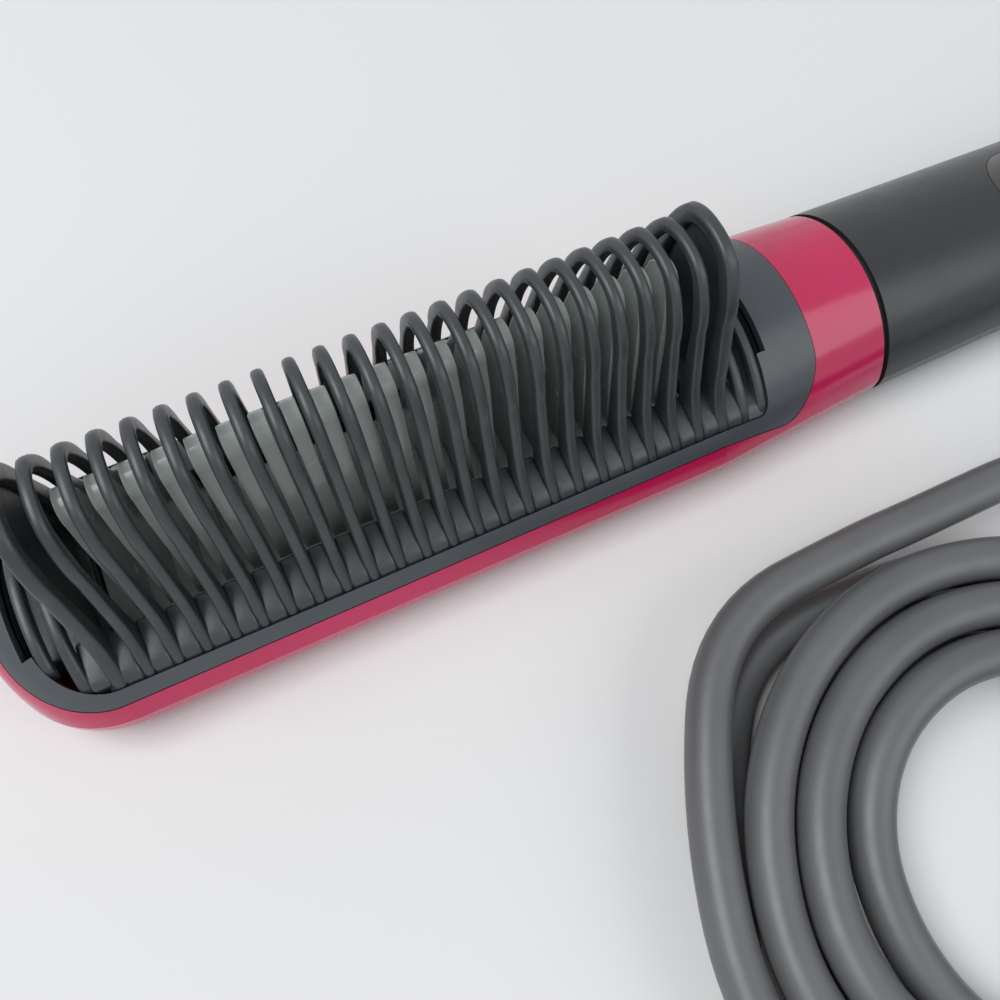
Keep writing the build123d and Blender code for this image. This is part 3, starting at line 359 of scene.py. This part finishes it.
def shade_smooth(mesh, prepare):
    """Runs prepare on the mesh and shades its faces smooth."""
    bm = bmesh.new()
    bm.from_mesh(mesh)
    prepare(bm)
    for face in bm.faces:
        face.smooth = True
    bm.to_mesh(mesh)
    bm.free()


def join_flats(bm):
    bmesh.ops.remove_doubles(bm, verts=bm.verts, dist=WELD)
    bmesh.ops.dissolve_limit(bm, angle_limit=FLAT_ANGLE, verts=bm.verts, edges=bm.edges)


def face_outward(bm):
    bmesh.ops.recalc_face_normals(bm, faces=bm.faces)


def rounded(name, width):
    """The node's own mesh with its flat faces joined again and its edges rounded."""
    source = frame["nodes"][name]
    mesh = source.data.copy()
    shade_smooth(mesh, join_flats)
    obj = bpy.data.objects.new(name + "_finished", mesh)
    bpy.context.scene.collection.objects.link(obj)
    round_edges(obj, width, 35.0, False)
    obj.modifiers.new("normals", "WEIGHTED_NORMAL").keep_sharp = True
    dress(obj, node_finish[name])
    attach(obj, source["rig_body"])
    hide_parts(name)


rounded("heater_comb", 0.18)

# Guard comb: loops with rounded rims, on two rails with a deck and low ribs at each end, in millimetres
PITCH = 4.0
LOOPS = 24
FIRST_LOOP = -33.0
LAST_LOOP = FIRST_LOOP - PITCH * (LOOPS - 1)
FOOT_Z = 13.0
LOOP_TOP = 27.8
LOOP_BAND = 1.4
LOOP_THICK = 1.65
END_THICK = 2.0
END_GROWTH = 0.8
RIM_RADIUS = 0.58
WINDOW = (LAST_LOOP - 8.0, FIRST_LOOP + 8.0)
WINDOW_HALF = 16.1
WINDOW_CORNER = 8.0
LEDGE_Z = 8.6
# the deck stands high so that, with the end walls, it covers the shaded hollow at the slot's ends:
# painted shade in place of the red shell seen there
DECK_Z = 13.6
RIB_HEIGHT = 2.2
RIB_STATIONS = 27
SHEET_HALF = 0.45
BITE = 0.15  # how far the rails' blocks reach into the loops
COLLAR_X = -3.0
TIP_X, TIP_RADIUS, TIP_DROP = -140.0, 14.5, 7.0
HEAD_HALF, HEAD_CROWN, PARTING_Z = 19.1, 21.0, 7.5
NECK_HALF, NECK_CROWN = 16.6, 20.8


def arc_points(a, m, b, step):
    """Points on the circle through a, m and b, from a to b."""
    d = 2 * (a[0] * (m[1] - b[1]) + m[0] * (b[1] - a[1]) + b[0] * (a[1] - m[1]))
    squares = [p[0] ** 2 + p[1] ** 2 for p in (a, m, b)]
    cx = (squares[0] * (m[1] - b[1]) + squares[1] * (b[1] - a[1]) + squares[2] * (a[1] - m[1])) / d
    cy = (squares[0] * (b[0] - m[0]) + squares[1] * (a[0] - b[0]) + squares[2] * (m[0] - a[0])) / d
    radius = math.hypot(a[0] - cx, a[1] - cy)
    turns = [math.atan2(p[1] - cy, p[0] - cx) for p in (a, m, b)]
    span = math.remainder(turns[1] - turns[0], math.tau) + math.remainder(turns[2] - turns[1], math.tau)
    count = max(2, round(abs(span) * radius / step))
    angles = [turns[0] + span * i / count for i in range(count + 1)]
    return [(cx + radius * math.cos(t), cy + radius * math.sin(t)) for t in angles]


def trace(pieces, step):
    """An outline of straight pieces (two points) and arcs (three points) as a list of points."""
    points = []
    for piece in pieces:
        if len(piece) == 3:
            run = arc_points(*piece, step)
        else:
            (ax, ay), (bx, by) = piece
            count = max(1, round(math.hypot(bx - ax, by - ay) / step))
            run = [(ax + (bx - ax) * i / count, ay + (by - ay) * i / count) for i in range(count + 1)]
        points += run if not points else run[1:]
    return points


def loop_halves(growth):
    """Matched points of the outer and the inner outline, foot to crown, on the right-hand side."""
    top = LOOP_TOP + growth
    side = growth * 0.45
    outer = [
        ((16.0, -1.2), (16.0, 0.0)),
        ((16.0, 0.0), (12.9, 4.4), (11.0 + side, 9.2)),
        ((11.0 + side, 9.2), (8.7 + side, 17.6)),
        ((8.7 + side, 17.6), (7.5 + side, 22.4 + side), (5.2 + side, 26.1 + growth * 0.8)),
        ((5.2 + side, 26.1 + growth * 0.8), (2.75, top - 0.35), (0.0, top)),
    ]
    crown = LOOP_TOP - LOOP_BAND
    inner = [
        ((9.0, -1.2), (9.0, 2.7)),
        ((9.0, 2.7), (7.1, 15.1)),
        ((7.1, 15.1), (5.7, 20.6), (3.9, 24.6)),
        ((3.9, 24.6), (2.1, crown - 0.4), (0.0, crown)),
    ]
    dense = trace(inner, 0.08)
    pairs = []
    reached = 0
    for point in trace(outer, 1.0):
        reached = min(range(reached, len(dense)), key=lambda i: math.dist(dense[i], point))
        pairs.append((point, dense[reached]))
    pairs[-1] = ((0.0, top), (0.0, crown))
    return pairs


CORNER_STEPS = 3
RING = 4 * CORNER_STEPS


def rounded_section(width, thick, radius):
    """The points (across, along X) of one ring, round a rectangle with rounded corners."""
    points = []
    for u, v, start in (
        (width - radius, thick / 2 - radius, 0),
        (radius, thick / 2 - radius, 90),
        (radius, radius - thick / 2, 180),
        (width - radius, radius - thick / 2, 270),
    ):
        for i in range(CORNER_STEPS):
            t = math.radians(start + 90 * i / (CORNER_STEPS - 1))
            points.append((u + radius * math.cos(t), v + radius * math.sin(t)))
    return points


def join_rings(faces, first, count):
    """The walls between count rings of vertices, from the vertex first on, and the two end caps."""
    for s in range(count - 1):
        for k in range(RING):
            a = first + s * RING + k
            b = first + s * RING + (k + 1) % RING
            faces.append((a, b, b + RING, a + RING))
    faces.append(tuple(range(first + RING - 1, first - 1, -1)))
    faces.append(tuple(first + (count - 1) * RING + k for k in range(RING)))


def add_loop(vertices, faces, x, thick, growth):
    """One loop of the comb; growth makes the end loops taller and wider."""
    halves = loop_halves(growth)
    left = [((-o[0], o[1]), (-i[0], i[1])) for o, i in halves]
    stations = halves + left[-2::-1]
    first = len(vertices)
    for outer, inner in stations:
        width = math.dist(outer, inner)
        across = ((outer[0] - inner[0]) / width, (outer[1] - inner[1]) / width)
        for u, v in rounded_section(width, thick, min(RIM_RADIUS, 0.45 * width)):
            vertices.append((x + v, inner[0] + u * across[0], FOOT_Z + inner[1] + u * across[1]))
    join_rings(faces, first, len(stations))


def crowned(x, y, drop):
    """Height of the head's crowned face above a point, less a drop."""
    along = max(0.0, (x - FIRST_LOOP) / (COLLAR_X - FIRST_LOOP))
    half = HEAD_HALF + along * (NECK_HALF - HEAD_HALF) - 2 * drop
    crown = HEAD_CROWN + along * (NECK_CROWN - HEAD_CROWN) - drop
    past = min(max((TIP_X + TIP_RADIUS - x) / TIP_RADIUS, 0.0), 1.0)
    fall = 1 - math.sqrt(1 - past * past)
    half -= TIP_RADIUS * fall
    crown -= TIP_DROP * fall
    rise = crown - PARTING_Z
    radius = (rise * rise + half * half) / (2 * rise)
    return crown - radius + math.sqrt(radius * radius - y * y)


def reach(x):
    """Half width of the panel's window, whose corners are round at the tip."""
    into = min(max(WINDOW_CORNER - (x - WINDOW[0]), 0.0), WINDOW_CORNER)
    return WINDOW_HALF - WINDOW_CORNER + math.sqrt(WINDOW_CORNER * WINDOW_CORNER - into * into)


def add_low_rib(vertices, faces, x):
    """A rib that follows the crowned panel's line across the slot."""
    first = len(vertices)
    side = reach(x)
    for i in range(RIB_STATIONS):
        y = -side + 2 * side * i / (RIB_STATIONS - 1)
        top = crowned(x, y, 0.15)
        for u, v in rounded_section(RIB_HEIGHT, LOOP_THICK, 0.55):
            vertices.append((x + v, y, top - RIB_HEIGHT + u))
    join_rings(faces, first, RIB_STATIONS)


def comb_piece(name, vertices, faces, bevel_width=None):
    """A piece of the guard comb, made of all the loops or all the blocks."""
    mesh = bpy.data.meshes.new(name)
    mesh.from_pydata([(x * MM, y * MM, z * MM) for x, y, z in vertices], [], faces)
    mesh.validate()
    shade_smooth(mesh, face_outward)
    obj = bpy.data.objects.new(name, mesh)
    bpy.context.scene.collection.objects.link(obj)
    if bevel_width:
        round_edges(obj, bevel_width, 30.0, True)
    obj.modifiers.new("normals", "WEIGHTED_NORMAL").keep_sharp = True
    dress(obj, COMB)
    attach(obj, "brush")
    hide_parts("guard_comb")


def add_prism(vertices, faces, x0, x1, section):
    """A solid of one (y, z) section between two stations along X."""
    first = len(vertices)
    count = len(section)
    vertices += [(x, y, z) for x in (x0, x1) for y, z in section]
    faces.append(tuple(range(first, first + count)))
    faces.append(tuple(range(first + 2 * count - 1, first + count - 1, -1)))
    for k in range(count):
        j = (k + 1) % count
        faces.append((first + k, first + count + k, first + count + j, first + j))


def make_loops():
    vertices, faces = [], []
    for n in range(LOOPS):
        thick, growth = (END_THICK, END_GROWTH) if n in (0, LOOPS - 1) else (LOOP_THICK, 0.0)
        add_loop(vertices, faces, FIRST_LOOP - PITCH * n, thick, growth)
    edge = LOOP_THICK / 2
    for x in (FIRST_LOOP + PITCH, WINDOW[1] - edge, LAST_LOOP - PITCH, WINDOW[0] + edge):
        add_low_rib(vertices, faces, x)
    comb_piece("guard_loops", vertices, faces)


def add_side_rail(vertices, faces, side):
    """The blocks between the feet of the loops and the rail below them, on the side +1 or -1."""
    block = [
        (WINDOW_HALF, LEDGE_Z), (WINDOW_HALF, 12.5), (15.5, 13.9), (14.3, 14.7),
        (12.0, 15.4), (8.9, 15.9), (8.9, LEDGE_Z),
    ]
    for n in range(-1, LOOPS):
        x1 = FIRST_LOOP - PITCH * n - LOOP_THICK / 2 + BITE
        x0 = FIRST_LOOP - PITCH * (n + 1) + LOOP_THICK / 2 - BITE
        limit = reach(x0)
        section = [(max(-limit, min(limit, side * y)), z) for y, z in block]
        add_prism(vertices, faces, x0, x1, section)
    rail = [(WINDOW_HALF, LEDGE_Z), (WINDOW_HALF, 12.2), (14.6, DECK_Z), (8.9, 14.6), (8.9, LEDGE_Z)]
    section = [(side * y, z) for y, z in rail]
    add_prism(vertices, faces, WINDOW[0] + 6.5, WINDOW[1] - 0.5, section)


def add_end(vertices, faces, near, far):
    """The deck between an end loop and the window's end, and the wall beyond it, in the comb's dark
    plastic: painted shade, they fill the shaded hollow at the slot's end so that the red shell inside
    stays hidden.
    """
    deck = [(-9.3, LEDGE_Z), (9.3, LEDGE_Z), (9.3, DECK_Z), (-9.3, DECK_Z)]
    add_prism(vertices, faces, min(near, far), max(near, far), deck)
    outer = far + (0.9 if far > near else -0.9)
    wall = [(-10, LEDGE_Z), (10, LEDGE_Z)]
    wall += [(y, crowned(outer, y, 0.9)) for y in (10, 8, 5, 2, -2, -5, -8, -10)]
    add_prism(vertices, faces, min(far, outer), max(far, outer), wall)


def make_rails():
    vertices, faces = [], []
    for side in (1, -1):
        add_side_rail(vertices, faces, side)
    add_end(vertices, faces, FIRST_LOOP - 2.3, WINDOW[1] + 1.6)
    add_end(vertices, faces, LAST_LOOP + 1.3, WINDOW[0] - 1.6)
    # the sheets that close the two end loops
    outline = [(inner[0] + 0.3, FOOT_Z + inner[1]) for _, inner in loop_halves(0.0)]
    outline += [(-y, z) for y, z in reversed(outline)]
    for x in (FIRST_LOOP + 0.5, LAST_LOOP - 0.5):
        add_prism(vertices, faces, x - SHEET_HALF, x + SHEET_HALF, outline)
    comb_piece("guard_rails", vertices, faces, 0.45)


make_loops()
make_rails()


# Light and floor
ROOM_COLOUR, ROOM_STRENGTH = (0.92, 0.95, 1.0, 1), 0.36
SEEN_COLOUR = (0.82, 0.82, 0.82, 1)
FLOOR_HALF = 3.0
FLOOR_Z = -0.0002


def area_light(name, at, towards, size, power):
    data = bpy.data.lights.new(name, "AREA")
    data.shape = "RECTANGLE"
    data.size, data.size_y = size
    data.energy = power
    light = bpy.data.objects.new(name, data)
    light.location = at
    light.rotation_euler = (Vector(towards) - Vector(at)).to_track_quat("-Z", "Y").to_euler()
    bpy.context.scene.collection.objects.link(light)


def make_world():
    """Soft light from all sides. Camera, glossy and transmission rays see a pale, even background."""
    world = bpy.data.worlds.new("studio")
    bpy.context.scene.world = world
    world.use_nodes = True
    tree = world.node_tree
    tree.nodes.clear()
    out = tree.nodes.new("ShaderNodeOutputWorld")
    mix = tree.nodes.new("ShaderNodeMixShader")
    ray = tree.nodes.new("ShaderNodeLightPath")
    room = tree.nodes.new("ShaderNodeBackground")
    seen = tree.nodes.new("ShaderNodeBackground")
    room.inputs["Color"].default_value = ROOM_COLOUR
    room.inputs["Strength"].default_value = ROOM_STRENGTH
    seen.inputs["Color"].default_value = SEEN_COLOUR
    camera_or_glossy = tree.nodes.new("ShaderNodeMath")
    camera_or_glossy.operation = "MAXIMUM"
    any_seen = tree.nodes.new("ShaderNodeMath")
    any_seen.operation = "MAXIMUM"
    tree.links.new(ray.outputs["Is Camera Ray"], camera_or_glossy.inputs[0])
    tree.links.new(ray.outputs["Is Glossy Ray"], camera_or_glossy.inputs[1])
    tree.links.new(camera_or_glossy.outputs[0], any_seen.inputs[0])
    tree.links.new(ray.outputs["Is Transmission Ray"], any_seen.inputs[1])
    tree.links.new(any_seen.outputs[0], mix.inputs["Fac"])
    tree.links.new(room.outputs["Background"], mix.inputs[1])
    tree.links.new(seen.outputs["Background"], mix.inputs[2])
    tree.links.new(mix.outputs["Shader"], out.inputs["Surface"])


def make_floor():
    mesh = bpy.data.meshes.new("floor")
    corners = [(x * FLOOR_HALF, y * FLOOR_HALF, FLOOR_Z) for x, y in ((-1, -1), (1, -1), (1, 1), (-1, 1))]
    mesh.from_pydata(corners, [], [(0, 1, 2, 3)])
    floor = bpy.data.objects.new("floor", mesh)
    bpy.context.scene.collection.objects.link(floor)
    material, tree, shader = new_material("floor_white")
    vary_colour(tree, shader, (0.71, 0.715, 0.715), (0.74, 0.745, 0.745), 3.0)
    shader.inputs["Roughness"].default_value = 0.7
    floor.data.materials.append(material)


make_world()
make_floor()
area_light("key", (-0.84, 0.14, 1.5), (-0.06, -0.04, 0.0), (1.4, 1.0), 22.4)
area_light("fill", (0.75, -1.06, 1.1), (-0.05, -0.04, 0.0), (1.2, 1.2), 7.2)
bpy.context.scene.view_settings.view_transform = "Standard"

bpy.context.view_layer.update()
